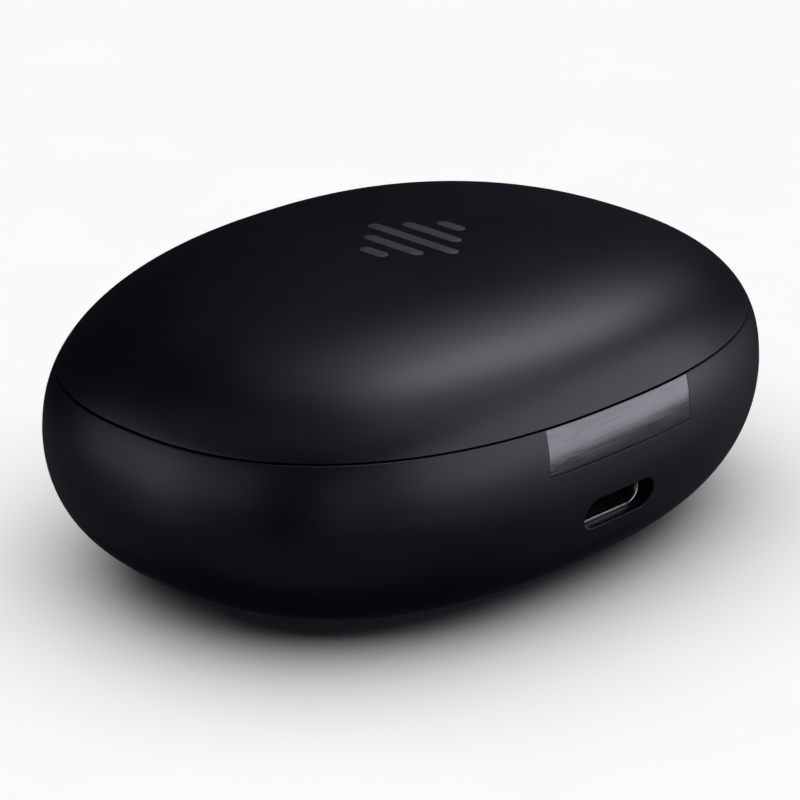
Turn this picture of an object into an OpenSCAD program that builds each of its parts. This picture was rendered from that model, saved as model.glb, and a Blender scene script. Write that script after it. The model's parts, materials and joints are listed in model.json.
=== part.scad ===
// Charging case for a pair of wireless earbuds: a soft oval pebble that opens
// on a hidden rear hinge, with a receptacle for charging under the hinge.
// Frame: +Z up, X along the length, hinge and receptacle at +Y, origin at the
// centre of the flat underside. Closed position. Millimetres.

/* [Outer form] */
// Length of the case along X
case_l = 74; // [72:0.5:76]
// Depth of the case along Y
case_d = 53.24; // [52.5:0.02:54.5]
// Height of the dome above the widest plane
dome_h = 14.73; // [14.6:0.01:15.2]
// Depth of the bowl below the widest plane, before the flat is cut
bowl_h = 14.18; // [14:0.01:14.4]
// Depth of the flat cut under the bowl
foot_cut = 0.10; // [0.06:0.01:0.15]
// Corner roundness of the widest outline, 2 is an ellipse
plan_n = 2.41; // [2.3:0.01:2.6]

/* [Seam] */
// Height of the seam above the widest plane
seam_h = 5.85; // [5.7:0.05:6]
// Gap between lid and base all round
seam_gap = 0.30; // [0.25:0.05:0.35]

/* [Walls] */
// Wall of the base shell
base_t = 1.5; // [1.4:0.1:1.6]
// Wall of the lid shell
lid_t = 1.4; // [1.3:0.1:1.5]
// Thickness of the deck that holds the earbud wells
deck_t = 1.2; // [1:0.1:1.3]

/* [Hinge] */
// Distance of the hinge axis inside the rear surface at the seam
axis_in = 1.20; // [1.15:0.01:1.22]
// Distance of the hinge axis below the top edge of the base
axis_down = 2.55; // [2.5:0.05:2.6]
// Radius of the hinge pin
pin_r = 0.5; // [0.4:0.05:0.5]
// Running clearance of the lid knuckles on the pin
pin_gap = 0.05; // [0.03:0.01:0.08]
// Half width of the hinge cover plate
cover_w = 9.7; // [9.4:0.1:10.2]
// Thickness of the hinge cover plate
cover_t = 0.5; // [0.4:0.05:0.5]
// Height of the lower edge of the hinge cover plate
cover_z = 15.55; // [15.4:0.05:15.6]

/* [Charging receptacle] */
// Height of the receptacle's centre
usb_z = 10.10; // [10:0.05:10.3]
// Width of the receptacle's metal shell
usb_w = 8.94; // [8.9:0.02:9]
// Height of the receptacle's metal shell
usb_h = 3.16; // [3.1:0.02:3.2]
// Clearance between the shell and the cut-out in the case
usb_c = 0.15; // [0.1:0.05:0.25]

/* [Wells] */
// Distance of each well's centre from the middle
well_x = 15.5; // [15.3:0.1:15.8]
// Radius of the ends of each well
well_r = 10.5; // [10:0.1:10.6]
// Height of the floor of each well
well_z = 10.5; // [10.4:0.1:10.8]

/* [Controls] */
// Travel of the pairing button
button_travel = 0.3; // [0.2:0.05:0.35]
// Travel of a charging contact
contact_travel = 0.7; // [0.5:0.1:0.8]

/* [Hidden] */
$fn = 48;
seg = 72;                               // points round each outline
ha = case_l / 2;                        // half length
hb = case_d / 2;                        // half depth
zw = bowl_h - foot_cut;                 // height of the widest plane
base_top = zw + seam_h - seam_gap / 2;  // top edge of the base
lid_low = base_top + seam_gap;          // lower edge of the lid
case_h = zw + dome_h;
deck_top = base_top - 0.58;
deck_low = deck_top - deck_t;
deck_a = 34.3;                          // half size of the deck
deck_b = 24.5;
in_a = 33.8;                            // widest opening inside the base
in_b = 24.0;
axis_y = yo(0, base_top) - axis_in;
axis_z = base_top - axis_down;
knuckle_r = 1.0;
arm_in = 3.1;                           // inner side of each hinge arm
arm_out = 6.7;
pocket_y = 19.8;                        // front of the hinge pocket
bud_x = 12;                             // charging contacts
bud_y = [6, 10];
lens_z = 12;
hinge_screw = [7.9, 16.75];
lid_screw = [7.9, 20.3];
pcb_hole = [8.8, 19.5];
boss_y = [-4.5, 7.5];                   // posts of the upper board
button_y = 2;
magnet_x = [3, 8];                      // closing magnets
magnet_y = [-22.7, -21.1];
bars = [[-5.2, 3.2], [-2.6, 7.2], [0, 11.2], [2.6, 7.2], [5.2, 3.2]];

// ---- outer form: stacked superellipses -------------------------------------
function spow(v, e) = sign(v) * pow(abs(v), e);
// how full the section is at height z, for a form drawn in by t
function fill_at(z, t) = let (h = z - zw)
    h >= 0 ? max(0, 1 - pow(h / (dome_h - t), 2.55))
           : max(0, 1 - pow(-h / (bowl_h - t), 2.1));
function sx(z, t) = pow(fill_at(z, t), z >= zw ? 1 / 2.70 : 1 / 4.67);
function sy(z, t) = pow(fill_at(z, t), z >= zw ? 1 / 3.58 : 1 / 4.57);
function en(z) = let (h = z - zw) plan_n
    + (h >= 0 ? (2.27 - plan_n) * h / dome_h : (2.39 - plan_n) * -h / bowl_h);
// outline of half size a, b and exponent n at height z
function outline(a, b, n, z) = [for (i = [0:seg - 1]) let (t = 360 * i / seg)
    [a * spow(cos(t), 2 / n), b * spow(sin(t), 2 / n), z]];
// section of the form at height z drawn in by ta, tb and tz
function section(z, ta, tb, tz) =
    outline((ha - ta) * sx(z, tz), (hb - tb) * sy(z, tz), en(z), z);
// rear surface at x and height z
function yo(x, z) = let (n = en(z)) hb * sy(z, 0)
    * pow(1 - pow(abs(x) / (ha * sx(z, 0)), n), 1 / n);
// heights crowded towards the end of a dome of height h, from z0 upwards
function rise(z0, h, k) = let (q = asin((z0 - zw) / h))
    [for (i = [0:k]) zw + h * sin(q + (90 - q) * i / k)];

// solid through a list of rings with the same number of points; a cap is one
// face, or strips across when the ring is a thin band
module loft(rings, band = false) {
    n = len(rings[0]);
    m = len(rings);
    cap = band ? [for (i = [0:n / 2 - 2]) [i, i + 1, n - 2 - i, n - 1 - i]]
               : [[for (i = [0:n - 1]) i]];
    polyhedron(points = [for (r = rings) each r], faces = concat(
        cap,
        [for (k = [0:m - 2], i = [0:n - 1])
            let (j = (i + 1) % n) [k * n + i, (k + 1) * n + i, (k + 1) * n + j]],
        [for (k = [0:m - 2], i = [0:n - 1])
            let (j = (i + 1) % n) [k * n + i, (k + 1) * n + j, k * n + j]],
        [for (f = cap) [for (i = [len(f) - 1:-1:0]) (m - 1) * n + f[i]]]));
}
// piece of the rear wall, from t_in inside the surface to t_out outside it
module rear_patch(w, z0, z1, t_in, t_out, nx = 16, nz = 6) {
    loft([for (k = [0:nz]) let (z = z0 + (z1 - z0) * k / nz) concat(
        [for (i = [0:nx]) let (x = w - 2 * w * i / nx) [x, yo(x, z) + t_out, z]],
        [for (i = [0:nx]) let (x = -w + 2 * w * i / nx) [x, yo(x, z) - t_in, z]])],
        band = true);
}
module plate(a, b, z0, z1) {
    translate([0, 0, z0]) linear_extrude(z1 - z0)
        polygon([for (p = outline(a, b, 2.36, 0)) [p[0], p[1]]]);
}
module block(x0, x1, y0, y1, z0, z1) {
    translate([x0, y0, z0]) cube([x1 - x0, y1 - y0, z1 - z0]);
}
module rod(x, y, z0, z1, r, fn = 32) {
    translate([x, y, z0]) cylinder(r = r, h = z1 - z0, $fn = fn);
}
// slot with round ends along X, extruded along Y from y0 to y1
module slot_y(w, h, y0, y1, z) {
    translate([0, y1, z]) rotate([90, 0, 0]) linear_extrude(y1 - y0) {
        square([w - h, h], center = true);
        for (s = [-1, 1]) translate([s * (w - h) / 2, 0]) circle(h / 2);
    }
}
// profile in Y and Z about the hinge axis, extruded along X from x0 to x1
module on_axis(x0, x1) {
    translate([x0, axis_y, axis_z]) rotate([90, 0, 90])
        linear_extrude(x1 - x0) children();
}
module well(s, r, z0, z1) {
    translate([s * well_x, 0, z0]) linear_extrude(z1 - z0) {
        square([2 * r, 8], center = true);
        for (y = [-4, 4]) translate([0, y]) circle(r, $fn = 96);
    }
}
module bar_mark(g, z0, z1) {
    for (b = bars) translate([b[0], 0, z0]) linear_extrude(z1 - z0) {
        square([1.3 + 2 * g, b[1] - 1.3], center = true);
        for (s = [-1, 1]) translate([0, s * (b[1] - 1.3) / 2])
            circle(0.65 + g, $fn = 32);
    }
}

// ---- base ------------------------------------------------------------------
module base_shell() {
    outer = concat(
        [for (i = [11:-1:1]) zw * (1 - sin(90 * i / 11))],
        [for (i = [0:5]) zw + (base_top - zw) * i / 5]);
    inner_low = 1.5;
    inner = concat(
        [base_top, zw + 2, zw],
        [for (i = [1:8]) zw - (zw - inner_low) * sin(90 * i / 8)]);
    color([0.03, 0.03, 0.035]) difference() {
        union() {
            loft(concat(
                [for (z = outer) section(z, 0, 0, 0)],
                [for (z = inner) outline(
                    min(in_a, (ha - base_t) * sx(z, base_t)),
                    min(in_b, (hb - base_t) * sy(z, base_t)), 2.38, z)]));
            for (s = [-1, 1]) rod(s * pcb_hole[0], pcb_hole[1], 3.1, 7.7, 1.5);
        }
        plate(deck_a + 0.1, deck_b + 0.1, deck_low, base_top + 1);
        rear_patch(cover_w + 0.05, cover_z - 0.05, base_top + 0.6,
            cover_t + 0.05, 1.5);
        block(-8.8, 8.8, 21, 28, cover_z + 0.35, base_top + 1);
        slot_y(usb_w + 2 * usb_c + 0.26, usb_h + 2 * usb_c - 0.26, 22, 28, usb_z);
        translate([0, -22, lens_z]) rotate([90, 0, 0]) cylinder(r = 0.9, h = 6);
        for (s = [-1, 1]) rod(s * pcb_hole[0], pcb_hole[1], 4.7, 8, 0.57);
    }
}
module hinge_cover() {
    color([0.25, 0.25, 0.26])
        rear_patch(cover_w, cover_z, base_top, cover_t, 0);
}
module cradle() {
    color([0.05, 0.05, 0.055]) difference() {
        union() {
            plate(deck_a, deck_b, deck_low, deck_top);
            for (s = [-1, 1]) {
                well(s, well_r + 1, well_z - 1.5, deck_low + 0.1);
                rod(s * 17, -5, 6.6, well_z - 1, 7.5, 64);
                // frame of the closing magnets
                block(min(s * 2.5, s * 8.5), max(s * 2.5, s * 8.5),
                    -23.1, -20.7, deck_low - 0.8, deck_low + 0.1);
                // guides of the sensor board
                block(min(s * 4.6, s * 5.4), max(s * 4.6, s * 5.4),
                    -23.1, -21.2, 12, deck_low + 0.1);
            }
            for (y = boss_y) rod(0, y, 14.7, deck_low + 0.1, 1.3);
            // seat of the hinge bracket
            block(-9, 9, 16.0, 18.95, 14.9, deck_low + 0.1);
        }
        for (s = [-1, 1]) {
            well(s, well_r, well_z, deck_top + 1);
            rod(s * 17, -5, 7.6, well_z + 0.1, 6.5, 64);
            for (y = bud_y) rod(s * bud_x, y, 6, well_z + 1, 0.92);
            for (p = [[20, 5], [14.5, -11.5]])
                rod(s * p[0], p[1], 6, well_z - 0.4, 2.02);
            block(min(s * magnet_x[0], s * magnet_x[1]) - 0.03,
                max(s * magnet_x[0], s * magnet_x[1]) + 0.03,
                magnet_y[0] - 0.03, magnet_y[1] + 0.03, 15, deck_top - 0.28);
            translate([s * hinge_screw[0], 19, hinge_screw[1]])
                rotate([90, 0, 0]) cylinder(r = 0.52, h = 2.6);
        }
        block(-9.2, 9.2, pocket_y, 26, 14, deck_top + 1);
        rod(0, button_y, 14, deck_top + 1, 2.6, 64);
        for (y = boss_y) rod(0, y, 14, 17.3, 0.52);
    }
}
module hinge_bracket() {
    color([0.55, 0.55, 0.57]) difference() {
        union() {
            block(-8.7, 8.7, 18.97, 23.45, 14.9, 15.85);
            block(-8.7, 8.7, 18.97, 19.75, 14.9, deck_low - 0.1);
            for (x = [[-8.6, -6.9], [-2.9, 2.9], [6.9, 8.6]]) on_axis(x[0], x[1]) {
                circle(0.84);
                polygon([[-4.2, 15.8 - axis_z], [-1.5, 15.8 - axis_z],
                    [0.78, -0.3], [-0.3, 0.78], [-2.2, -0.5]]);
            }
        }
        on_axis(-9, 9) circle(pin_r + 0.01);
        for (s = [-1, 1]) translate([s * hinge_screw[0], 21, hinge_screw[1]])
            rotate([90, 0, 0]) cylinder(r = 0.52, h = 3);
    }
}
module hinge_pin() {
    color([0.75, 0.75, 0.77]) on_axis(-8.65, 8.65) circle(pin_r);
}
module hinge_screws() {
    color([0.6, 0.6, 0.62]) for (s = [-1, 1])
        translate([s * hinge_screw[0], 0, hinge_screw[1]]) rotate([-90, 0, 0])
            difference() {
                union() {
                    translate([0, 0, 16.6]) cylinder(r = 0.5, h = 3.2);
                    translate([0, 0, 19.75]) cylinder(r = 0.85, h = 0.4);
                }
                translate([-0.12, -0.5, 19.95]) cube([0.24, 1, 1]);
                translate([-0.5, -0.12, 19.95]) cube([1, 0.24, 1]);
            }
}
module usb_shell() {
    color([0.7, 0.7, 0.72]) difference() {
        slot_y(usb_w, usb_h, 17.25, 24.6, usb_z);
        slot_y(usb_w - 0.6, usb_h - 0.6, 17.55, 25, usb_z);
    }
}
module usb_tongue() {
    color([0.02, 0.02, 0.02]) {
        block(-3.35, 3.35, 18.2, 23.6, usb_z - 0.35, usb_z + 0.35);
        slot_y(usb_w - 0.64, usb_h - 0.64, 17.6, 18.9, usb_z);
    }
}
module usb_contacts() {
    color([0.8, 0.65, 0.3]) for (i = [0:11], s = [-1, 1])
        let (x = -2.75 + 0.5 * i)
        block(x - 0.125, x + 0.125, 18.95, 23.2,
            min(usb_z + s * 0.36, usb_z + s * 0.44),
            max(usb_z + s * 0.36, usb_z + s * 0.44));
}
module main_pcb() {
    color([0.05, 0.25, 0.12]) difference() {
        block(-11, 11, 16.6, 22.9, 7.72, 8.5);
        for (s = [-1, 1]) rod(s * pcb_hole[0], pcb_hole[1], 7, 9, 0.6);
    }
}
module pcb_chips() {
    color([0.1, 0.1, 0.1]) {
        block(4.9, 7.5, 16.9, 18.1, 8.52, 9.3);
        block(-7.4, -4.9, 16.9, 18.3, 8.52, 9.4);
        block(4.9, 6.5, 20.4, 22, 8.52, 9.1);
        block(-6.9, -4.9, 20.2, 22.2, 8.52, 9.2);
        for (i = [0:3]) block(-10.8, -10.2, 17 + 1.2 * i, 17.7 + 1.2 * i,
            8.52, 8.9);
    }
}
module screw_z(r, z0, z1, zh, rh) {
    difference() {
        union() {
            cylinder(r = r, h = abs(z1 - z0));
            translate([0, 0, -zh]) cylinder(r = rh, h = zh);
        }
        translate([-rh * 0.6, -0.12, -zh - 1]) cube([rh * 1.2, 0.24, 1.2]);
        translate([-0.12, -rh * 0.6, -zh - 1]) cube([0.24, rh * 1.2, 1.2]);
    }
}
module pcb_screws() {
    color([0.6, 0.6, 0.62]) for (s = [-1, 1])
        translate([s * pcb_hole[0], pcb_hole[1], 8.52]) mirror([0, 0, 1])
            screw_z(0.55, 0, 3.6, 0.5, 1.05);
}
module battery() {
    color([0.6, 0.6, 0.65]) {
        block(-16.2, 16.2, -9.4, 9.4, 2.42, 6.4);
        for (s = [-1, 1]) translate([s * 16.2, 0, 0])
            rotate([90, 0, 0]) translate([0, 4.41, -9.4]) linear_extrude(18.8)
                intersection() {
                    circle(r = 1.99, $fn = 32);
                    translate([s * 1, 0]) square([2, 4], center = true);
                }
    }
}
module battery_pad() {
    color([0.15, 0.15, 0.16]) block(-11, 11, -6, 6, 1.52, 2.4);
}
module battery_leads() {
    color([0.5, 0.05, 0.05]) for (x = [-1.2, 1.2]) {
        translate([x, 9.45, 5]) rotate([-90, 0, 0]) cylinder(r = 0.4, h = 9.55, $fn = 24);
        translate([x, 19, 5]) sphere(r = 0.4, $fn = 24);
        rod(x, 19, 5, 7.68, 0.4, 24);
    }
}
module contact_barrels() {
    color([0.8, 0.65, 0.3]) for (s = [-1, 1], y = bud_y)
        translate([s * bud_x, y, 0]) difference() {
            rod(0, 0, 7.35, well_z, 0.9);
            rod(0, 0, 7.6, well_z - 0.6, 0.62);
            rod(0, 0, 7.6, well_z + 1, 0.5);
        }
}
module contact_boards() {
    color([0.05, 0.25, 0.12]) for (s = [-1, 1])
        block(s * bud_x - 2, s * bud_x + 2, 4, 12, 6.7, 7.33);
}
module earbud_magnets() {
    color([0.7, 0.7, 0.7]) for (s = [-1, 1], p = [[20, 5], [14.5, -11.5]])
        rod(s * p[0], p[1], well_z - 1.45, well_z - 0.45, 2);
}
module base_magnets() {
    color([0.7, 0.7, 0.7]) for (s = [-1, 1])
        block(min(s * magnet_x[0], s * magnet_x[1]),
            max(s * magnet_x[0], s * magnet_x[1]),
            magnet_y[0], magnet_y[1], deck_low - 0.7, deck_top - 0.3);
}
module top_board() {
    color([0.05, 0.25, 0.12]) difference() {
        block(-3.6, 3.6, -6.5, 9.5, 13.98, 14.68);
        for (y = boss_y) rod(0, y, 13, 16, 0.55);
    }
}
module board_screws() {
    color([0.6, 0.6, 0.62]) for (y = boss_y) translate([0, y, 13.96])
        screw_z(0.5, 0, 3, 0.45, 0.95);
}
module button_switch() {
    color([0.3, 0.3, 0.32]) {
        block(-1.5, 1.5, button_y - 1.5, button_y + 1.5, 14.7, 15.7);
        rod(0, button_y, 15.6, 15.9, 0.7);
    }
}
module sensor_board() {
    color([0.05, 0.25, 0.12]) block(-4.5, 4.5, -22.6, -21.8, 8, 16.9);
}
module sensor_flex() {
    color([0.6, 0.35, 0.05]) block(-1.5, 1.5, -21.78, 17.2, 8.52, 8.67);
}
module status_led() {
    color([0.9, 0.9, 0.85]) block(-0.8, 0.8, -23.3, -22.62, 11.5, 12.5);
}
module hall_sensor() {
    color([0.1, 0.1, 0.1]) block(-1.4, 1.4, -21.78, -20.8, 15.3, 16.7);
}
module status_lens() {
    color([0.85, 0.85, 0.85]) translate([0, 0, lens_z]) rotate([90, 0, 0]) {
        translate([0, 0, 23.9]) cylinder(r = 0.86, h = yo(0.86, lens_z) - 23.93);
        translate([0, 0, 23.4]) cylinder(r = 1.4, h = 0.55);
    }
}

// ---- lid -------------------------------------------------------------------
module lid_shell() {
    up = rise(lid_low, dome_h, 11);
    dn = rise(lid_low, dome_h - lid_t, 8);
    top = case_h - 0.03;
    color([0.03, 0.03, 0.035]) difference() {
        loft(concat(
            [section(case_h - lid_t - 0.1, lid_t, lid_t, lid_t)],
            [for (i = [7:-1:0]) section(dn[i], lid_t, lid_t, lid_t)],
            [for (i = [0:10]) section(up[i], 0, 0, 0)],
            [section(top, 0, 0, 0)]));
        bar_mark(0.02, case_h - 0.25, case_h + 1);
    }
}
module lid_liner() {
    low = lid_low + 0.3;
    up = rise(low, dome_h - 1.6, 7);
    dn = rise(low, dome_h - 3.0, 7);
    color([0.05, 0.05, 0.055]) difference() {
        loft(concat(
            [section(case_h - 3.0 - 0.12, 3.6, 4.6, 3.0)],
            [for (i = [6:-1:0]) section(dn[i], 3.6, 4.6, 3.0)],
            [for (i = [0:6]) section(up[i], 1.6, 1.6, 1.6)],
            [section(case_h - 1.6 - 0.1, 1.6, 1.6, 1.6)]));
        block(-9.2, 9.2, 17, 26, 19, 22.25);
        for (s = [-1, 1]) {
            block(min(s * magnet_x[0], s * magnet_x[1]) - 0.03,
                max(s * magnet_x[0], s * magnet_x[1]) + 0.03,
                magnet_y[0] - 0.03, magnet_y[1] + 0.03, low + 0.4, 26);
            rod(s * lid_screw[0], lid_screw[1], 22, 23.3, 0.52);
        }
        rod(0, -21.9, low + 0.4, 26, 1.02);
    }
}
module hinge_arms() {
    color([0.05, 0.05, 0.055]) difference() {
        union() {
            for (s = [-1, 1]) on_axis(s > 0 ? arm_in : -arm_out,
                s > 0 ? arm_out : -arm_in) {
                circle(knuckle_r);
                translate([-4.5, -1]) square([4.5, 0.7]);
                translate([-4.5, -1]) square([1.45, 22 - axis_z]);
                polygon([[-1, 0], [0, -1], [-2.4, -0.9], [-2, -0.3]]);
            }
            block(-8.9, 8.9, 19.35, 22.15, 21.0, 22.23);
        }
        on_axis(-9, 9) circle(pin_r + pin_gap);
        for (s = [-1, 1]) rod(s * lid_screw[0], lid_screw[1], 20, 23, 0.55);
    }
}
module lid_screws() {
    color([0.6, 0.6, 0.62]) for (s = [-1, 1])
        translate([s * lid_screw[0], lid_screw[1], 20.98])
            screw_z(0.5, 0, 2.2, 0.45, 0.9);
}
module lid_magnets() {
    color([0.7, 0.7, 0.7]) for (s = [-1, 1])
        block(min(s * magnet_x[0], s * magnet_x[1]),
            max(s * magnet_x[0], s * magnet_x[1]),
            magnet_y[0], magnet_y[1], lid_low + 0.72, lid_low + 1.75);
}
module sensor_magnet() {
    color([0.7, 0.7, 0.7]) rod(0, -21.9, lid_low + 0.72, lid_low + 1.75, 1.0);
}
module lid_emblem() {
    color([0.22, 0.22, 0.23]) bar_mark(0, case_h - 0.24, case_h);
}

// ---- controls --------------------------------------------------------------
module pairing_button() {
    color([0.08, 0.08, 0.085]) {
        rod(0, button_y, deck_low - 0.3, deck_top + 0.35, 2.5, 64);
        rod(0, button_y, 15.9 + button_travel, deck_low, 0.8);
    }
}
module plunger(x, y) {
    color([0.85, 0.7, 0.35]) translate([x, y, 0]) {
        rod(0, 0, 9.0, 9.8, 0.57);
        rod(0, 0, 9.5, well_z + 0.6, 0.45);
        translate([0, 0, well_z + 0.6]) sphere(r = 0.45, $fn = 32);
    }
}

base_shell();
hinge_cover();
cradle();
hinge_bracket();
hinge_pin();
hinge_screws();
usb_shell();
usb_tongue();
usb_contacts();
main_pcb();
pcb_chips();
pcb_screws();
battery();
battery_pad();
battery_leads();
contact_barrels();
contact_boards();
earbud_magnets();
base_magnets();
top_board();
board_screws();
button_switch();
sensor_board();
sensor_flex();
status_led();
hall_sensor();
status_lens();
lid_shell();
lid_liner();
hinge_arms();
lid_screws();
lid_magnets();
sensor_magnet();
lid_emblem();
pairing_button();
plunger(-bud_x, bud_y[0]);  // plunger_left_front
plunger(-bud_x, bud_y[1]);  // plunger_left_rear
plunger(bud_x, bud_y[0]);  // plunger_right_front
plunger(bud_x, bud_y[1]);  // plunger_right_rear
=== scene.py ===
import json
import math

import bmesh
import bpy
import numpy as np
from mathutils import Matrix, Vector
from mathutils.geometry import delaunay_2d_cdt

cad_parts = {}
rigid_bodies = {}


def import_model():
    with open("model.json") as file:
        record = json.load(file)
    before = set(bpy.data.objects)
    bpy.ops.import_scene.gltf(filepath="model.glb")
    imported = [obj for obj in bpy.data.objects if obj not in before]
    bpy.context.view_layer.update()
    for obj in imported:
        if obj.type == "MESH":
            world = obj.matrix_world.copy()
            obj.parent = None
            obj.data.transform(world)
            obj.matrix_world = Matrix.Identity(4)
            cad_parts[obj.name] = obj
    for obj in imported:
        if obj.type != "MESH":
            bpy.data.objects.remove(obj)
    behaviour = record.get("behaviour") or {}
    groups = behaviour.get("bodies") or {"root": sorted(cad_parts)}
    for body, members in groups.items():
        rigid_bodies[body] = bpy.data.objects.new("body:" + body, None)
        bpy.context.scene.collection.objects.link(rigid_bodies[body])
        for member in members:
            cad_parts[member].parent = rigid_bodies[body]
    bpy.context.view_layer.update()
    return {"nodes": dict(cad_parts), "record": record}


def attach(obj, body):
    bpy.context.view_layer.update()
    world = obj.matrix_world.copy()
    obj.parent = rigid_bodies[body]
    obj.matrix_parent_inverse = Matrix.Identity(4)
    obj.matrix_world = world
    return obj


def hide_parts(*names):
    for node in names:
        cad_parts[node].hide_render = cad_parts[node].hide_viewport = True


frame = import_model()
MM = 0.001

# ---------------------------------------------------------------- form (mm)
HA, HB = 37.0, 26.62
DOME, BOWL, CUT = 14.72, 14.18, 0.10        # the mark stands 0.01 over it
PLAN_N = 2.41
ZW = BOWL - CUT
CASE_H = ZW + DOME
BASE_TOP = ZW + 5.85 - 0.15          # CAD's edge of the base
LID_LOW = BASE_TOP + 0.30            # CAD's edge of the lid
SEAM_IN = 0.068                      # each visible edge closes the seam by this
DECK_TOP = BASE_TOP - 0.58
DECK_LOW = DECK_TOP - 1.2
DECK_A, DECK_B = 34.3, 24.5
USB_Z = 10.10
COVER_W, COVER_Z, COVER_T = 9.7, 15.55, 0.5
AXIS_Y, AXIS_Z = 24.737186, 17.23
WELL_X, WELL_R, WELL_Z = 15.5, 10.5, 10.5


def fill_at(z, t):
    h = np.asarray(z, float) - ZW
    up = np.clip(h / (DOME - t), 0, 1)
    dn = np.clip(-h / (BOWL - t), 0, 1)
    return np.where(h >= 0, 1 - up ** 2.55, 1 - dn ** 2.1)


def sxy(z, t):
    z = np.asarray(z, float)
    c = np.clip(fill_at(z, t), 0, 1)
    return (c ** np.where(z >= ZW, 1 / 2.70, 1 / 4.67),
            c ** np.where(z >= ZW, 1 / 3.58, 1 / 4.57))


def en(z):
    h = np.asarray(z, float) - ZW
    return PLAN_N + np.where(h >= 0, (2.27 - PLAN_N) * h / DOME,
                             (2.39 - PLAN_N) * -h / BOWL)


def outline(a, b, n, z, count):
    """Superellipse as points at even polar angles of the squared-up plan."""
    t = np.arange(count) * 2 * math.pi / count
    c, s = np.cos(t), np.sin(t)
    # even steps on an ellipse, pushed out to the superellipse
    r = (np.abs(c) ** n + np.abs(s) ** n) ** (-1 / n)
    return np.stack([a * c * r, b * s * r, np.full(count, float(z))], 1)


def section(z, ta=0.0, tb=None, tz=0.0, count=256):
    tb = ta if tb is None else tb
    kx, ky = sxy(z, tz)
    return outline((HA - ta) * float(kx), (HB - tb) * float(ky),
                   float(en(z)), z, count)


def y_rear(x, z):
    """Rear surface of the form."""
    x, z = np.asarray(x, float), np.asarray(z, float)
    kx, ky = sxy(z, 0)
    n = en(z)
    q = np.clip(1 - (np.abs(x) / (HA * kx)) ** n, 0, 1)
    return HB * ky * q ** (1 / n)


def z_lid(x, y):
    """Top surface of the lid over a point."""
    x, y = np.asarray(x, float), np.asarray(y, float)
    lo = np.full(x.shape, ZW + 1.0)
    hi = np.full(x.shape, CASE_H - 1e-7)
    for _ in range(48):
        m = (lo + hi) / 2
        kx, ky = sxy(m, 0)
        n = en(m)
        kx, ky = np.maximum(kx, 1e-9), np.maximum(ky, 1e-9)
        f = (np.abs(x) / (HA * kx)) ** n + (np.abs(y) / (HB * ky)) ** n
        lo, hi = np.where(f < 1, m, lo), np.where(f < 1, hi, m)
    return (lo + hi) / 2


def rise(z0, h, k):
    q = math.asin((z0 - ZW) / h)
    return [ZW + h * math.sin(q + (math.pi / 2 - q) * i / k)
            for i in range(k + 1)]


# ------------------------------------------------------------- mesh helpers
def mesh_object(name, verts, faces, smooth=32):
    me = bpy.data.meshes.new(name)
    me.from_pydata([tuple(float(c) * MM for c in v) for v in verts], [], faces)
    me.validate()
    ob = bpy.data.objects.new(name, me)
    bpy.context.scene.collection.objects.link(ob)
    clean(ob)
    shade(ob, smooth)
    return ob


def clean(ob, dist=2e-7):
    bm = bmesh.new()
    bm.from_mesh(ob.data)
    bmesh.ops.remove_doubles(bm, verts=bm.verts, dist=dist)
    bmesh.ops.dissolve_degenerate(bm, edges=bm.edges, dist=dist)
    bmesh.ops.recalc_face_normals(bm, faces=bm.faces)
    bm.to_mesh(ob.data)
    bm.free()


def shade(ob, angle=32):
    me = ob.data
    if angle is None:
        for p in me.polygons:
            p.use_smooth = False
        return
    for p in me.polygons:
        p.use_smooth = True
    lim = math.radians(angle)
    bm = bmesh.new()
    bm.from_mesh(me)
    for e in bm.edges:
        e.smooth = not (len(e.link_faces) == 2
                        and e.calc_face_angle(0) > lim)
    bm.to_mesh(me)
    bm.free()


def loft(rings, cap0=None, cap1=None):
    """Vertices and quads through rings of the same count. A cap is 'fan' with
    a middle point, or 'face'."""
    n = len(rings[0])
    verts = [p for r in rings for p in r]
    faces = []
    for k in range(len(rings) - 1):
        for i in range(n):
            j = (i + 1) % n
            faces.append((k * n + i, k * n + j, (k + 1) * n + j,
                          (k + 1) * n + i))
    for which, cap in ((0, cap0), (len(rings) - 1, cap1)):
        if cap is None:
            continue
        idx = [which * n + i for i in range(n)]
        if cap == "face":
            faces.append(tuple(reversed(idx)) if which == 0 else tuple(idx))
        else:
            mid = np.mean([verts[i] for i in idx], axis=0) if cap == "fan" \
                else np.array(cap, float)
            verts.append(mid)
            m = len(verts) - 1
            for i in range(n):
                j = (i + 1) % n
                faces.append((idx[j], idx[i], m) if which == 0
                             else (idx[i], idx[j], m))
    return verts, faces


def boolean(ob, cutter, op="DIFFERENCE"):
    mod = ob.modifiers.new("cut", "BOOLEAN")
    mod.operation = op
    mod.solver = "EXACT"
    mod.object = cutter
    dg = bpy.context.evaluated_depsgraph_get()
    me = bpy.data.meshes.new_from_object(ob.evaluated_get(dg))
    ob.modifiers.clear()
    old = ob.data
    ob.data = me
    bpy.data.meshes.remove(old)
    cm = cutter.data
    bpy.data.objects.remove(cutter)
    bpy.data.meshes.remove(cm)


def box(name, x0, x1, y0, y1, z0, z1):
    v = [(x, y, z) for x in (x0, x1) for y in (y0, y1) for z in (z0, z1)]
    f = [(0, 1, 3, 2), (4, 6, 7, 5), (0, 4, 5, 1), (2, 3, 7, 6), (0, 2, 6, 4),
         (1, 5, 7, 3)]
    return mesh_object(name, v, f, None)


def blend(v, k):
    """A plain value, or one that runs from the flats to the ends of a slot."""
    return v if np.isscalar(v) else v[0] + (v[1] - v[0]) * k


def slot_k(count):
    """How far each point of a slot outline is towards the end of its arc."""
    k = count // 4
    arc = [math.cos(-math.pi / 2 + math.pi * i / k) for i in range(k)]
    flat = [0.0] * (count // 2 - k)
    return np.array(arc + flat + arc + flat)


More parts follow.
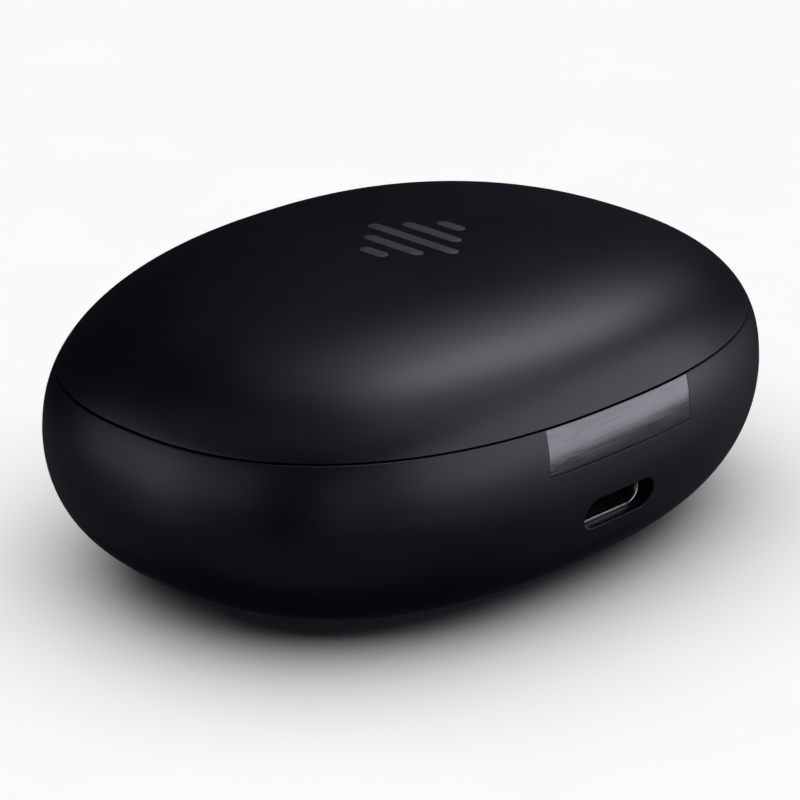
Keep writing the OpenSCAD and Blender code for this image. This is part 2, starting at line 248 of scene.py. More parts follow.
def stadium(w, h, off, count=96):
    """Slot outline of size w by h grown by off, in two dimensions."""
    off = blend(off, slot_k(count)) + np.zeros(count)
    r = h / 2
    half = (w - h) / 2
    out = []
    k = count // 4
    arc = k  # points on each half circle
    st = count // 2 - arc
    for s in (1, -1):
        for i in range(arc):
            t = (-math.pi / 2 + math.pi * i / arc) * 1.0
            g = r + off[len(out)]
            out.append((s * (half + g * math.cos(t)), s * g * math.sin(t)))
        for i in range(st):
            x = s * (half - 2 * half * i / st)
            out.append((x, s * (r + off[len(out)])))
    return np.array(out)


# --------------------------------------------------------------- materials
class Nodes:
    def __init__(self, name):
        self.mat = bpy.data.materials.new(name)
        self.mat.use_nodes = True
        self.t = self.mat.node_tree
        self.t.nodes.clear()
        self.out = self.add("ShaderNodeOutputMaterial")
        self.b = self.add("ShaderNodeBsdfPrincipled")
        self.link(self.b, "BSDF", self.out, "Surface")
        tc = self.add("ShaderNodeTexCoord")
        self.coord = (tc, "Object")

    def add(self, kind, **kw):
        n = self.t.nodes.new(kind)
        for k, v in kw.items():
            setattr(n, k, v)
        return n

    def link(self, a, ao, b, bi):
        self.t.links.new(a.outputs[ao], b.inputs[bi])

    def set(self, **kw):
        for k, v in kw.items():
            key = k.replace("_", " ")
            names = {i.name.lower(): i for i in self.b.inputs}
            names[key.lower()].default_value = v
        return self

    def mapped(self, scale):
        m = self.add("ShaderNodeMapping")
        m.inputs["Scale"].default_value = scale
        self.link(*self.coord, m, "Vector")
        return m

    def noise(self, scale, detail=4.0, rough=0.5, stretch=(1, 1, 1)):
        m = self.mapped(stretch)
        n = self.add("ShaderNodeTexNoise")
        n.inputs["Scale"].default_value = scale
        n.inputs["Detail"].default_value = detail
        n.inputs["Roughness"].default_value = rough
        self.link(m, "Vector", n, "Vector")
        return n

    def ramp(self, src, so, stops):
        r = self.add("ShaderNodeValToRGB")
        e = r.color_ramp.elements
        while len(e) < len(stops):
            e.new(0.5)
        for el, (p, c) in zip(e, stops):
            el.position = p
            el.color = c if len(c) == 4 else (*c, 1)
        self.link(src, so, r, "Fac")
        return r

    def span(self, src, so, lo, hi, a=0.3, b=0.7):
        m = self.add("ShaderNodeMapRange")
        m.inputs["From Min"].default_value = a
        m.inputs["From Max"].default_value = b
        m.inputs["To Min"].default_value = lo
        m.inputs["To Max"].default_value = hi
        self.link(src, so, m, "Value")
        return m

    def bump(self, src, so, strength, dist, under=None):
        b = self.add("ShaderNodeBump")
        b.inputs["Strength"].default_value = strength
        b.inputs["Distance"].default_value = dist
        self.link(src, so, b, "Height")
        if under is not None:
            self.link(under, "Normal", b, "Normal")
        self.link(b, "Normal", self.b, "Normal")
        return b


def grey(v, tint=(1, 1, 1)):
    return (v * tint[0], v * tint[1], v * tint[2], 1)


def moulded(name, level, rough, spread=0.03, grain=0.3, spec=0.3,
            tint=(0.97, 0.98, 1.12), coat=0.0):
    """Fine-textured black moulding: faint cloudy tone, pinpoint grain."""
    m = Nodes(name)
    cloud = m.noise(90, 3, 0.55)
    tone = m.ramp(cloud, "Fac", [(0.3, grey(level * 0.86, tint)),
                                 (0.7, grey(level * 1.14, tint))])
    m.link(tone, "Color", m.b, "Base Color")
    fine = m.noise(9000, 2, 0.6)
    rr = m.span(cloud, "Fac", rough - spread, rough + spread)
    m.link(rr, "Result", m.b, "Roughness")
    soft = m.bump(m.noise(1400, 2, 0.5), "Fac", grain * 0.5, 0.00001)
    m.bump(fine, "Fac", grain, 0.000006, soft)
    m.set(Specular_IOR_Level=spec, Coat_Weight=coat)
    return m.mat


def metal(name, level, rough, brush=(1, 1, 1), scale=4000, spread=0.1,
          bump=0.25, aniso=0.0, tint=(1, 1, 1), patch=0.12):
    m = Nodes(name)
    line = m.noise(scale, 3, 0.6, brush)
    broad = m.noise(220, 2, 0.5)
    mix = m.add("ShaderNodeMix", data_type="RGBA", blend_type="MULTIPLY")
    mix.inputs["Factor"].default_value = 1.0
    a = m.ramp(line, "Fac", [(0.3, grey(level * (1 - spread * 2), tint)),
                             (0.7, grey(level * (1 + spread), tint))])
    b = m.ramp(broad, "Fac", [(0.3, grey(1 - patch)), (0.7, grey(1.0))])
    m.link(a, "Color", mix, 6)
    m.link(b, "Color", mix, 7)
    m.t.links.new(mix.outputs[2], m.b.inputs["Base Color"])
    rr = m.span(line, "Fac", rough - 0.07, rough + 0.07)
    m.link(rr, "Result", m.b, "Roughness")
    m.bump(line, "Fac", bump, 0.000008)
    m.set(Metallic=1.0, Anisotropic=aniso)
    return m.mat


def board(name):
    m = Nodes(name)
    cell = m.add("ShaderNodeTexVoronoi", feature="DISTANCE_TO_EDGE")
    cell.inputs["Scale"].default_value = 900
    mp = m.mapped((1, 1, 0.2))
    m.link(mp, "Vector", cell, "Vector")
    tone = m.ramp(cell, "Distance", [(0.0, (0.03, 0.16, 0.08)),
                                     (0.10, (0.012, 0.085, 0.04))])
    m.link(tone, "Color", m.b, "Base Color")
    m.bump(cell, "Distance", 0.3, 0.00002)
    m.set(Roughness=0.38, Specular_IOR_Level=0.5)
    return m.mat


def plain(name, color, rough, scale=1500, spread=0.12, bump=0.2, spec=0.4,
          **kw):
    m = Nodes(name)
    n = m.noise(scale, 4, 0.6)
    lo = tuple(c * (1 - spread) for c in color)
    hi = tuple(min(1, c * (1 + spread)) for c in color)
    tone = m.ramp(n, "Fac", [(0.3, lo), (0.7, hi)])
    m.link(tone, "Color", m.b, "Base Color")
    m.link(m.span(n, "Fac", rough - 0.05, rough + 0.05), "Result",
           m.b, "Roughness")
    m.bump(n, "Fac", bump, 0.00001)
    m.set(Specular_IOR_Level=spec, **kw)
    return m.mat


MAT = {
    "shell_black": moulded("shell_black", 0.0018, 0.38, spread=0.015, spec=0.30,
                           tint=(0.76, 0.60, 1.64)),
    "inner_black": moulded("inner_black", 0.008, 0.46, spec=0.32, grain=0.2),
    "arm_black": moulded("arm_black", 0.008, 0.38, spec=0.35, grain=0.15),
    "button_black": moulded("button_black", 0.010, 0.30, spec=0.4, grain=0.1),
    "insert_black": moulded("insert_black", 0.002, 0.5, spec=0.1, grain=0.1),
    "chip_black": moulded("chip_black", 0.012, 0.45, spec=0.4),
    "cover_metal": metal("cover_metal", 0.098, 0.20, brush=(0.02, 1, 1),
                         scale=5200, aniso=0.0, bump=0.35,
                         tint=(1.0, 0.99, 0.99)),
    "steel": metal("steel", 0.30, 0.32, scale=1800, bump=0.1),
    "port_metal": metal("port_metal", 0.34, 0.30, scale=2500, bump=0.15),
    "contact_gold": metal("contact_gold", 0.8, 0.22, bump=0.1,
                          tint=(1.0, 0.72, 0.32)),
    "magnet_nickel": metal("magnet_nickel", 0.6, 0.2,
                           tint=(1.0, 0.98, 0.94)),
    "cell_foil": metal("cell_foil", 0.6, 0.35, scale=700, bump=0.5),
    "board_green": board("board_green"),
    "foam_black": plain("foam_black", (0.02, 0.02, 0.022), 0.9, 3500, 0.4,
                        0.8, 0.1),
    "lead_red": plain("lead_red", (0.4, 0.02, 0.02), 0.45),
    "flex_amber": plain("flex_amber", (0.42, 0.2, 0.03), 0.3),
    "led_white": plain("led_white", (0.8, 0.8, 0.74), 0.3),
    "lens_smoke": plain("lens_smoke", (0.018, 0.018, 0.02), 0.16, 800, 0.1,
                        0.05, 0.5),
    "mark_grey": plain("mark_grey", (0.032, 0.036, 0.036), 0.5, 5000, 0.08,
                       0.15, 0.3),
}


def dress(ob, slot):
    ob.data.materials.clear()
    ob.data.materials.append(MAT[slot])


def piece(ob, body, slot, *nodes):
    dress(ob, slot)
    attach(ob, body)
    if nodes:
        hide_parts(*nodes)
    return ob


slot_of = {s["node"]: s["material_slot"] for s in frame["record"]["subparts"]}
for node_name, ob in frame["nodes"].items():
    for i in range(max(1, len(ob.material_slots))):
        if not ob.material_slots:
            ob.data.materials.append(MAT[slot_of[node_name]])
        ob.material_slots[i].material = MAT[slot_of[node_name]]

# ---------------------------------------------------------------- lid shell
N = 288
low = LID_LOW - SEAM_IN
rings = []
in_rise = rise(LID_LOW + 0.5, DOME - 1.4, 26)
for z in reversed(in_rise[:-1]):
    rings.append(section(z, 1.4, tz=1.4, count=N))
for i in range(5):                           # inner edge of the rim
    q = math.pi / 2 * i / 4
    rings.append(section(low + 0.16 * (1 - math.sin(q)),
                         1.4 - 0.16 * (1 - math.cos(q)), tz=1.4, count=N))
rim_r = 0.07
for i in range(7):                           # outer edge of the rim
    q = math.pi / 2 * i / 6
    rings.append(section(low + rim_r * (1 - math.cos(q)),
                         rim_r * (1 - math.sin(q)), count=N))
outer = rise(low + rim_r, DOME, 64)
for z in outer[1:-1]:
    rings.append(section(z, count=N))
v, f = loft(rings, cap0="fan", cap1=(0, 0, CASE_H))
lid_shell = mesh_object("lid_shell_skin", v, f, 50)

# --------------------------------------------------------------- base shell
top = BASE_TOP + SEAM_IN
rings = []
zs = [ZW * (1 - math.sin(math.pi / 2 * i / 60)) for i in range(60, 0, -1)]
zs += list(np.linspace(ZW, top - rim_r, 40))
for k in (0.25, 0.5, 0.75):                   # flat underside
    rings.append(section(0.0, count=N) * np.array([k, k, 1]))
for z in zs:
    rings.append(section(z, count=N))
for i in range(1, 7):                        # edge of the rim
    q = math.pi / 2 * i / 6
    rings.append(section(top - rim_r + rim_r * math.sin(q),
                         rim_r * (1 - math.cos(q)), count=N))


def seat(a, b, z):
    return outline(a, b, 2.36, z, N)


e = 0.12
for i in range(5):
    t = math.pi / 2 * i / 4
    rings.append(seat(DECK_A + 0.1 + e - e * math.sin(t),
                      DECK_B + 0.1 + e - e * math.sin(t),
                      top - e + e * math.cos(t)))
rings.append(seat(DECK_A + 0.1, DECK_B + 0.1, DECK_LOW))
rings.append(seat(33.8, 24.0, DECK_LOW))
for z in np.concatenate([np.linspace(DECK_LOW - 0.5, ZW, 5),
                         [ZW - (ZW - 1.5) * math.sin(math.pi / 2 * i / 20)
                          for i in range(1, 21)]]):
    kx, ky = sxy(z, 1.5)
    rings.append(outline(min(33.8, 35.5 * float(kx)),
                         min(24.0, 25.12 * float(ky)), 2.38, z, N))
v, f = loft(rings, cap0="fan", cap1="fan")
base_shell = mesh_object("base_shell_skin", v, f, 50)


def rear_cutter(name, x0, x1, z0, z1, depth, r, lip=0.9):
    """Solid that cuts a pocket of this depth into the rear surface, with the
    surface's edge rounded by r. Open upwards when z1 is over the rim."""
    def ring(off, d):
        k = 40
        xs = np.linspace(x0 - off, x1 + off, k + 1)
        zz = np.linspace(z0 - off, z1 + off, 25)
        pts = [(x, zz[0]) for x in xs] + [(xs[-1], z) for z in zz[1:]] \
            + [(x, zz[-1]) for x in xs[::-1][1:]] \
            + [(xs[0], z) for z in zz[::-1][1:-1]]
        p = np.array(pts)
        z_s = np.minimum(p[:, 1], top)
        return np.stack([p[:, 0], y_rear(p[:, 0], z_s) - d, p[:, 1]], 1), (
            len(xs), len(zz))
    steps = [(r, -lip)] + [(r - r * math.sin(t), r - r * math.cos(t))
                           for t in np.linspace(0, math.pi / 2, 6)] \
        + [(0, depth)]
    loops = [ring(o, d)[0] for o, d in steps]
    v, f = loft(loops)
    n = len(loops[0])
    verts = list(v)

    def grid(loop_index, d, off, flip):
        xs = np.linspace(x0 - off, x1 + off, 41)
        zz = np.linspace(z0 - off, z1 + off, 25)
        base = len(verts)
        for z in zz:
            for x in xs:
                verts.append((x, float(y_rear(x, min(z, top))) - d, z))
        for j in range(24):
            for i in range(40):
                q = (base + j * 41 + i, base + j * 41 + i + 1,
                     base + (j + 1) * 41 + i + 1, base + (j + 1) * 41 + i)
                f.append(q if flip else q[::-1])
    grid(0, steps[0][1], r, True)
    grid(-1, depth, 0, False)
    return mesh_object(name, verts, f, None)


boolean(base_shell, rear_cutter("cut_cover", -COVER_W - 0.02, COVER_W + 0.02,
                                COVER_Z - 0.02, BASE_TOP + 1.2, 0.56, 0.03))
boolean(base_shell, box("cut_window", -8.8, 8.8, 21, 25.75, 15.9,
                        BASE_TOP + 2))


def slot_loft(name, w, h, z0, steps, cap0="fan", cap1="fan", follow=True,
              count=128, smooth=40):
    """Slot-shaped loft along Y. A step is (growth, depth below the rear
    surface), or (growth, y) when it doesn't follow the surface."""
    loops = []
    for off, d in steps:
        p = stadium(w, h, off, count)
        z = p[:, 1] + z0
        y = (y_rear(p[:, 0], z) - d) if follow \
            else blend(d, slot_k(count)) + np.zeros(len(p))
        loops.append(np.stack([p[:, 0], y, z], 1))
    v, f = loft(loops, cap0, cap1)
    return mesh_object(name, v, f, smooth)


r = 0.06
boolean(base_shell, slot_loft(
    "cut_port", 9.44, 3.20, USB_Z,
    [(r, -0.8)] + [(r - r * math.sin(t), r - r * math.cos(t))
                   for t in np.linspace(0, math.pi / 2, 7)]
    + [(0, 2.8), (0, 4.5)]))

# status light: round hole through the front wall
t = np.arange(48) * 2 * math.pi / 48


def front_disc(rad, y):
    return np.stack([rad * np.cos(t), np.full(48, y), 12 + rad * np.sin(t)], 1)


def y_front(rad):
    return -y_rear(rad * np.cos(t), 12 + rad * np.sin(t))


def front_loops(steps):
    out = []
    for rad, d in steps:
        p = front_disc(rad, 0)
        p[:, 1] = y_front(rad) + d
        out.append(p)
    return out


v, f = loft(front_loops([(0.96, -0.8), (0.96, 0.0), (0.93, 0.02),
                         (0.90, 0.06), (0.9, 3.2)]), "fan", "fan")
boolean(base_shell, mesh_object("cut_lens", v, f, None))
clean(base_shell)
shade(base_shell, 38)

# ------------------------------------------------- hinge cover, brushed plate
cr = 0.04
xs = np.linspace(-COVER_W, COVER_W, 61)
zz = np.linspace(COVER_Z, top - 0.02, 25)


def cover_ring(off, d):
    x = np.linspace(-COVER_W + off, COVER_W - off, 61)
    z = np.linspace(COVER_Z + off, top - 0.02 - off, 25)
    pts = [(a, z[0]) for a in x] + [(x[-1], b) for b in z[1:]] \
        + [(a, z[-1]) for a in x[::-1][1:]] + [(x[0], b) for b in z[::-1][1:-1]]
    p = np.array(pts)
    return np.stack([p[:, 0], y_rear(p[:, 0], p[:, 1]) - d, p[:, 1]], 1)


steps = [(0.0, COVER_T)] + [(cr - cr * math.cos(a), cr - cr * math.sin(a))
                            for a in np.linspace(0, math.pi / 2, 5)]
loops = [cover_ring(o, d) for o, d in steps]
v, f = loft(loops)
verts = list(v)
for off, d, flip in ((0.0, COVER_T, True), (cr, 0.0, False)):
    x = np.linspace(-COVER_W + off, COVER_W - off, 61)
    z = np.linspace(COVER_Z + off, top - 0.02 - off, 25)
    b0 = len(verts)
    for b in z:
        for a in x:
            verts.append((a, float(y_rear(a, b)) - d, b))
    for j in range(24):
        for i in range(60):
            q = (b0 + j * 61 + i, b0 + j * 61 + i + 1,
                 b0 + (j + 1) * 61 + i + 1, b0 + (j + 1) * 61 + i)
            f.append(q if flip else q[::-1])
hinge_cover = mesh_object("hinge_cover_plate", verts, f, 50)

# -------------------------------------------------------- receptacle's shell
wall = 0.30
er = 0.07
front, rear = 24.6, 17.25
outer_w, outer_h = 8.94, 3.16
steps = [(-er, rear), (0, rear + er), (0, front - er)]
steps += [(-er + er * math.cos(a), front - er + er * math.sin(a))
          for a in np.linspace(0.2, math.pi / 2, 5)]
# the mouth is rolled wider at the two ends than along the flats
for a in np.linspace(0, math.pi / 2, 9):
    c, d = 1 - math.sin(a), 1 - math.cos(a)
    steps.append(((-wall + 0.03 * c, -wall + 0.26 * c),
                  (front - 0.03 * d, front - 0.55 * d)))
steps += [(-wall, rear + 0.3)]
usb_shell = slot_loft("receptacle_shell", outer_w, outer_h, USB_Z, steps,
                      follow=False, smooth=50)

# ------------------------------------------------------------------- emblem
bars = [(-5.2, 3.2), (-2.6, 7.2), (0.0, 11.2), (2.6, 7.2), (5.2, 3.2)]
emblem_v, emblem_f = [], []
for bx, length in bars:
    loops = []
    for off, dz in ((0, -0.20), (0, 0.004), (-0.012, 0.010)):
        p = stadium(length, 1.3, off, 72)
        x, y = bx + p[:, 1], p[:, 0]
        loops.append(np.stack([x, y, z_lid(x, y) + dz], 1))
    mids = [np.stack([bx + stadium(length, 1.3, -0.012, 72)[:, 1] * k,
                      stadium(length, 1.3, -0.012, 72)[:, 0] * k], 1)
            for k in (0.66, 0.33)]
    for m in mids:
        loops.append(np.column_stack([m, z_lid(m[:, 0], m[:, 1]) + 0.010]))
    v, f = loft(loops, "fan", (bx, 0, float(z_lid(bx, 0.0)) + 0.010))
    b0 = len(emblem_v)
    emblem_v += list(v)
    emblem_f += [tuple(i + b0 for i in q) for q in f]
emblem = mesh_object("lid_mark", emblem_v, emblem_f, 60)

# ---------------------------------------------------------------- lid liner
low_l = LID_LOW + 0.3
rings = []
for z in reversed(rise(low_l + 0.9, DOME - 3.0, 24)[:-1]):
    rings.append(section(z, 3.6, 4.6, 3.0, N))
for i in range(9):                              # rounded lip into the hollow
    a = math.pi / 2 * i / 8
    rings.append(section(low_l + 0.8 * (1 - math.sin(a)),
                         3.6 - 0.8 * (1 - math.cos(a)),
                         4.6 - 0.8 * (1 - math.cos(a)),
                         3.0 - 0.8 * (1 - math.cos(a)), N))
rings.append(section(low_l, 1.7, 1.7, 1.6, N))
rings.append(section(low_l + 0.1, 1.6, 1.6, 1.6, N))
for z in rise(low_l + 0.3, DOME - 1.6, 18)[:-1]:
    rings.append(section(z, 1.6, 1.6, 1.6, N))
v, f = loft(rings, "fan", "fan")
lid_liner = mesh_object("lid_liner_tray", v, f, 40)
boolean(lid_liner, box("cut_notch", -9.2, 9.2, 17, 26, 19, 22.25))
clean(lid_liner)
shade(lid_liner, 38)

# ------------------------------------------------------------------- cradle
def well_loop(s, off, count=120):
    p = stadium(8 + 2 * WELL_R, 2 * WELL_R, off, count)   # along the first axis
    return np.stack([s * WELL_X + p[:, 1], p[:, 0]], 1)


def circle(cx, cy, rad, count=64):
    a = np.arange(count) * 2 * math.pi / count
    return np.stack([cx + rad * np.cos(a), cy + rad * np.sin(a)], 1)


def deck_edge(a, b, front_y, half):
    """Deck outline with the notch of the hinge pocket, with round corners."""
    p = outline(a, b, 2.36, 0, 360)[:, :2]
    keep = ~((np.abs(p[:, 0]) < half) & (p[:, 1] > 0))
    idx = np.where(~keep)[0]
    start, end = idx[0], idx[-1]
    out = list(p[:start])
    xr = half
    yr = b * (1 - (half / a) ** 2.36) ** (1 / 2.36)
    rr = 0.6
    out.append((xr, yr))
    for i in range(7):
        q = math.pi / 2 * i / 6
        out.append((half - rr + rr * math.cos(q), front_y + rr - rr * math.sin(q)))
    for i in range(7):
        q = math.pi / 2 * i / 6
        out.append((-half + rr - rr * math.sin(q), front_y + rr - rr * math.cos(q)))
    out.append((-xr, yr))
    out += list(p[end + 1:])
    return np.array(out)


class Sheet:
    """Collects loops and flat regions into one mesh."""
    def __init__(self):
        self.v, self.f = [], []

    def loop(self, pts, z):
        b0 = len(self.v)
        z = np.broadcast_to(z, len(pts))
        self.v += [(p[0], p[1], q) for p, q in zip(pts, z)]
        return list(range(b0, b0 + len(pts)))

    def band(self, a, b, flip=False):
        n = len(a)
        for i in range(n):
            j = (i + 1) % n
            q = (a[i], a[j], b[j], b[i])
            self.f.append(q[::-1] if flip else q)

    def cap(self, a, flip=False):
        mid = np.mean([self.v[i] for i in a], axis=0)
        self.v.append(tuple(mid))
        m = len(self.v) - 1
        for i in range(len(a)):
            q = (a[i], a[(i + 1) % len(a)], m)
            self.f.append(q[::-1] if flip else q)

    def region(self, outer, holes, flip=False):
        """Flat face bounded by a loop with holes in it."""
        idx = list(outer) + [i for h in holes for i in h]
        pts = [Vector(self.v[i][:2]) for i in idx]
        edges, s = [], 0
        for lp in [outer] + holes:
            n = len(lp)
            edges += [(s + i, s + (i + 1) % n) for i in range(n)]
            s += n
        r = delaunay_2d_cdt(pts, edges, [], 0, 1e-7)
        back = {}
        for new, orig in enumerate(r[3]):
            if orig:
                back[new] = idx[orig[0]]
        hole_polys = [np.array([self.v[i][:2] for i in h]) for h in holes]
        out_poly = np.array([self.v[i][:2] for i in outer])
        for tri in r[2]:
            c = sum((r[0][i] for i in tri), Vector((0, 0))) / len(tri)
            if not inside(c, out_poly) or any(inside(c, h)
                                              for h in hole_polys):
                continue
            if any(i not in back for i in tri):
                continue
            q = [back[i] for i in tri]
            self.f.append(tuple(reversed(q)) if flip else tuple(q))


def inside(c, poly):
    x, y = c[0], c[1]
    a, b = poly, np.roll(poly, -1, 0)
    cross = ((a[:, 1] > y) != (b[:, 1] > y))
    with np.errstate(divide="ignore", invalid="ignore"):
        xi = (b[:, 0] - a[:, 0]) * (y - a[:, 1]) / (b[:, 1] - a[:, 1]) + a[:, 0]
    return bool(np.sum(cross & (x < xi)) % 2)


S = Sheet()
edge_r = 0.25
POCKET_Y, POCKET_X = 19.8, 9.2


def edge_loop(off, z):
    return S.loop(deck_edge(DECK_A - off, DECK_B - off, POCKET_Y - off,
                            POCKET_X + off), z)


top_edge = edge_loop(edge_r, DECK_TOP)
prev = top_edge
for i in range(1, 6):
    a = math.pi / 2 * i / 5
    cur = edge_loop(edge_r * (1 - math.sin(a)),
                    DECK_TOP - edge_r * (1 - math.cos(a)))
    S.band(prev, cur, True)
    prev = cur
low_edge = edge_loop(0, DECK_LOW)
S.band(prev, low_edge, True)

top_holes, low_holes = [], []
for s in (-1, 1):
    # the well: rolled edge, drafted wall, round foot
    prof = []
    R1 = 0.9
    for i in range(8):
        a = math.pi / 2 * i / 7
        prof.append((R1 - R1 * math.sin(a), DECK_TOP - R1 * (1 - math.cos(a))))
    prof.append((-0.10, 15.0))
    prof.append((-0.20, WELL_Z + 1.1))
    R2 = 1.1
    for i in range(1, 8):
        a = math.pi / 2 * i / 7
        prof.append((-0.20 - R2 * (1 - math.cos(a)),
                     WELL_Z + R2 * (1 - math.sin(a))))
    loops = [S.loop(well_loop(s, off), z) for off, z in prof]
    for a, b in zip(loops[:-1], loops[1:]):
        S.band(a, b, s > 0)
    top_holes.append(loops[0])
    # ear-tip pocket
    cx, cy = s * 17, -5
    R3 = 0.55
    pprof = []
    for i in range(6):
        a = math.pi / 2 * i / 5
        pprof.append((6.5 + R3 * (1 - math.sin(a)),
                      WELL_Z - R3 * (1 - math.cos(a))))
    R4 = 1.6
    for i in range(0, 9):
        a = math.pi / 2 * i / 8
        pprof.append((6.45 - R4 * (1 - math.cos(a)),
                      7.6 + R4 * (1 - math.sin(a))))
    ploops = [S.loop(circle(cx, cy, rad), z) for rad, z in pprof]
    for a, b in zip(ploops[:-1], ploops[1:]):
        S.band(a, b, s > 0)
    S.cap(ploops[-1])
    pins_top, pins_low = [], []
    for py in (6, 10):
        c0 = S.loop(circle(s * 12, py, 1.05, 40), WELL_Z)
        c1 = S.loop(circle(s * 12, py, 0.95, 40), WELL_Z - 0.06)
        c2 = S.loop(circle(s * 12, py, 0.93, 40), WELL_Z - 1.5)
        S.band(c0, c1, True)
        S.band(c1, c2, True)
        pins_top.append(c0)
        pins_low.append(c2)
    S.region(loops[-1], [ploops[0]] + pins_top)
    # outside of the well, below the deck
    o0 = S.loop(well_loop(s, 1.0), DECK_LOW)
    o1 = S.loop(well_loop(s, 1.0), WELL_Z - 0.7)
    o2 = S.loop(well_loop(s, 0.2), WELL_Z - 1.5)
    S.band(o0, o1, s < 0)
    S.band(o1, o2, s < 0)
    q0 = S.loop(circle(cx, cy, 7.5), WELL_Z - 1.5)
    q1 = S.loop(circle(cx, cy, 7.5), 7.4)
    q2 = S.loop(circle(cx, cy, 6.7), 6.6)
    S.band(q0, q1)
    S.band(q1, q2)
    S.cap(q2, True)
    S.region(o2, [q0] + pins_low, True)
    low_holes.append(o0)
# the button's hole
b0 = S.loop(circle(0, 2, 2.85, 72), DECK_TOP)
b1 = S.loop(circle(0, 2, 2.68, 72), DECK_TOP - 0.06)
b2 = S.loop(circle(0, 2, 2.60, 72), DECK_TOP - 0.2)
b3 = S.loop(circle(0, 2, 2.60, 72), DECK_LOW)
for a, b in ((b0, b1), (b1, b2), (b2, b3)):
    S.band(a, b, True)
S.region(top_edge, top_holes + [b0])
S.region(low_edge, low_holes + [b3], True)
cradle = mesh_object("cradle_tray", S.v, S.f, 38)

# ------------------------------------------------------------ pairing button
def turned(name, cx, cy, prof, count=72, smooth=40):
    loops = [np.column_stack([circle(cx, cy, max(rad, 1e-4), count),
                              np.full(count, z)]) for rad, z in prof]
    v, f = loft(loops, "fan", "fan")
    return mesh_object(name, v, f, smooth)


bt = DECK_TOP + 0.35
prof = [(0.8, 16.22), (0.8, DECK_LOW - 0.3), (2.45, DECK_LOW - 0.3),
        (2.5, DECK_LOW - 0.2), (2.5, bt - 0.3)]
prof += [(2.5 - 0.3 * (1 - math.cos(a)), bt - 0.3 + 0.3 * math.sin(a))
         for a in np.linspace(0.2, math.pi / 2, 6)]
prof += [(2.0, bt - 0.005), (1.75, bt - 0.06), (1.2, bt - 0.10),
         (0.5, bt - 0.12)]
button = turned("pairing_button_cap", 0, 2, prof)

# -------------------------------------------------------------- status lens
v, f = loft([front_disc(1.4, -23.42), front_disc(1.4, -23.9),
             front_disc(0.86, -23.92)]
            + front_loops([(0.86, 0.10), (0.82, 0.05), (0.76, 0.03),
                           (0.5, 0.025), (0.2, 0.02)]), "fan", "fan")
lens = mesh_object("status_light_lens", v, f, 50)

piece(lid_shell, "lid", "shell_black", "lid_shell")
piece(base_shell, "base", "shell_black", "base_shell")
piece(hinge_cover, "base", "cover_metal", "hinge_cover")
piece(usb_shell, "base", "port_metal", "usb_shell")
piece(emblem, "lid", "mark_grey", "lid_emblem")
piece(lid_liner, "lid", "inner_black", "lid_liner")
piece(cradle, "base", "inner_black", "cradle")
piece(button, "button", "button_black", "pairing_button")
piece(lens, "base", "lens_smoke", "status_lens")

# --------------------------------------------------------------------- stage
AZ, EL, ROLL = math.radians(133.307), math.radians(22.074), math.radians(0.849)
DIST, FPX, CX, CY = 321.19, 3390.9, 410.77, 384.88
back = Vector((math.sin(AZ) * math.cos(EL), -math.cos(AZ) * math.cos(EL),
               math.sin(EL)))
right = (-back).cross(Vector((0, 0, 1))).normalized()
up = right.cross(-back)
r2 = right * math.cos(ROLL) + up * math.sin(ROLL)
u2 = up * math.cos(ROLL) - right * math.sin(ROLL)
cam = bpy.data.cameras.new("camera")
cam.sensor_width = 36
cam.lens = FPX / 800 * 36
cam.shift_x = -(CX - 400) / 800
cam.shift_y = (CY - 400) / 800
cam.clip_start, cam.clip_end = 0.01, 10
cam_ob = bpy.data.objects.new("camera", cam)
bpy.context.scene.collection.objects.link(cam_ob)
loc = Vector((0, 0, ZW * MM)) + back * DIST * MM
m = Matrix((r2, u2, back)).transposed().to_4x4()
m.translation = loc
cam_ob.matrix_world = m
bpy.context.scene.camera = cam_ob

FLOOR_Z = -0.04
sweep = []                                    # floor that curves up far away
for rad, z in [(300, 0), (700, 0), (1100, 0)] + [
        (1100 + 900 * math.sin(q), 900 * (1 - math.cos(q)))
        for q in np.linspace(0.1, math.pi / 2, 14)] + [(2000, 1600)]:
    q = np.arange(96) * 2 * math.pi / 96
    sweep.append(np.stack([rad * np.cos(q), rad * np.sin(q),
                           np.full(96, z + FLOOR_Z)], 1))
floor = mesh_object("floor", *loft(sweep, (0, 0, FLOOR_Z)), 60)
fm = Nodes("floor_pale")
fn = fm.noise(40, 3, 0.5)
fm.link(fm.ramp(fn, "Fac", [(0.3, grey(0.86)), (0.7, grey(0.88))]), "Color",
        fm.b, "Base Color")
fm.set(Roughness=0.9, Specular_IOR_Level=0.1)
# far from the case the sweep glows, so it stays pale in low views
geo = fm.add("ShaderNodeTexCoord")
dist = fm.add("ShaderNodeVectorMath", operation="LENGTH")
fm.link(geo, "Object", dist, 0)
glow = fm.span(dist, "Value", 0.0, 0.86, 0.5, 1.5)
fm.b.inputs["Emission Color"].default_value = (1, 1, 1, 1)
fm.link(glow, "Result", fm.b, "Emission Strength")
floor.data.materials.append(fm.mat)
floor.visible_glossy = False
floor.visible_diffuse = False
floor.visible_shadow = False

world = bpy.data.worlds.new("studio")
world.use_nodes = True
world.node_tree.nodes["Background"].inputs[0].default_value = (0.95, 0.88, 1.3, 1)
world.node_tree.nodes["Background"].inputs[1].default_value = 0.012
bpy.context.scene.world = world

lit = bpy.data.collections.new("lit_object")
floor_only = bpy.data.collections.new("lit_floor")
floor_only.objects.link(floor)


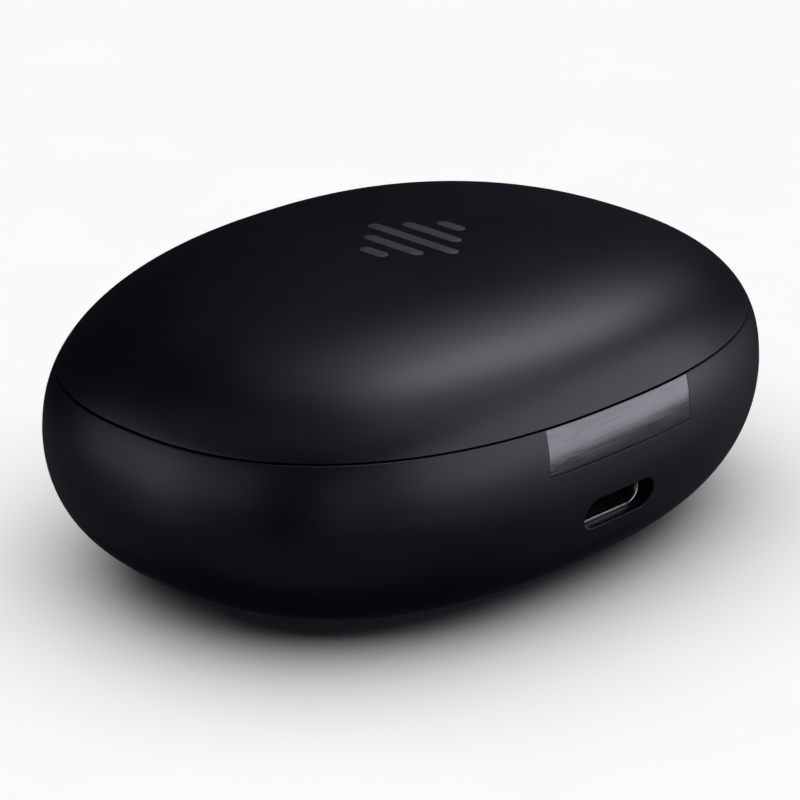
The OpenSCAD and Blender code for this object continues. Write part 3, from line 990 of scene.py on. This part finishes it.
def softbox(name, az, el, w, h, radiance, dist=600, only=None, spread=180,
            roll=0):
    """Rectangular light in the direction az, el (same sense as the camera's),
    facing the case. Power follows from the radiance asked for."""
    a, e = math.radians(az), math.radians(el)
    d = Vector((math.sin(a) * math.cos(e), -math.cos(a) * math.cos(e),
                math.sin(e)))
    L = bpy.data.lights.new(name, "AREA")
    L.shape = "RECTANGLE"
    L.size, L.size_y = w * MM, h * MM
    L.color = (1.0, 1.0, 1.0) if only is not lit else (0.968, 0.948, 1.085)
    L.energy = radiance * math.pi * (w * MM) * (h * MM)
    L.spread = math.radians(spread)
    ob = bpy.data.objects.new(name, L)
    bpy.context.scene.collection.objects.link(ob)
    q = d.to_track_quat("Z", "Y")
    ob.matrix_world = Matrix.Translation(
        Vector((0, 0, ZW * MM)) + d * dist * MM) @ q.to_matrix().to_4x4() \
        @ Matrix.Rotation(math.radians(roll), 4, "Z")
    ob.visible_camera = False
    if only is not None:
        ob.light_linking.receiver_collection = only
    return ob


# soft boxes: azimuth, elevation, apparent width and height in degrees, radiance
for i, (az, el, w, h, rad) in enumerate([
        (260, 60, 20, 40, 4.70), (210, 10, 75, 45, 2.60),
        (240, 60, 75, 45, 1.34), (60, 0, 20, 40, 1.18),
        (300, 70, 36, 20, 0.65), (70, 10, 75, 45, 0.86),
        (150, 0, 20, 40, 0.70), (100, 60, 90, 20, 0.33),
        (230, -10, 90, 20, 0.25), (130, -50, 75, 45, 0.17),
        (40, -30, 75, 45, 0.07), (230, -30, 75, 45, 0.062),
        (310, -30, 90, 20, 0.05)]):
    far = 1500
    softbox("soft_box_%02d" % i, az, el,
            2 * far * math.tan(math.radians(w / 2)),
            2 * far * math.tan(math.radians(h / 2)), rad, far, lit)
softbox("floor_wash", 133, 88, 3200, 3200, 1.9, 1500, floor_only)

for ob in bpy.data.objects:
    if ob.type == "MESH" and ob is not floor:
        lit.objects.link(ob)

sc = bpy.context.scene
sc.view_settings.view_transform = "Standard"
sc.view_settings.look = "None"
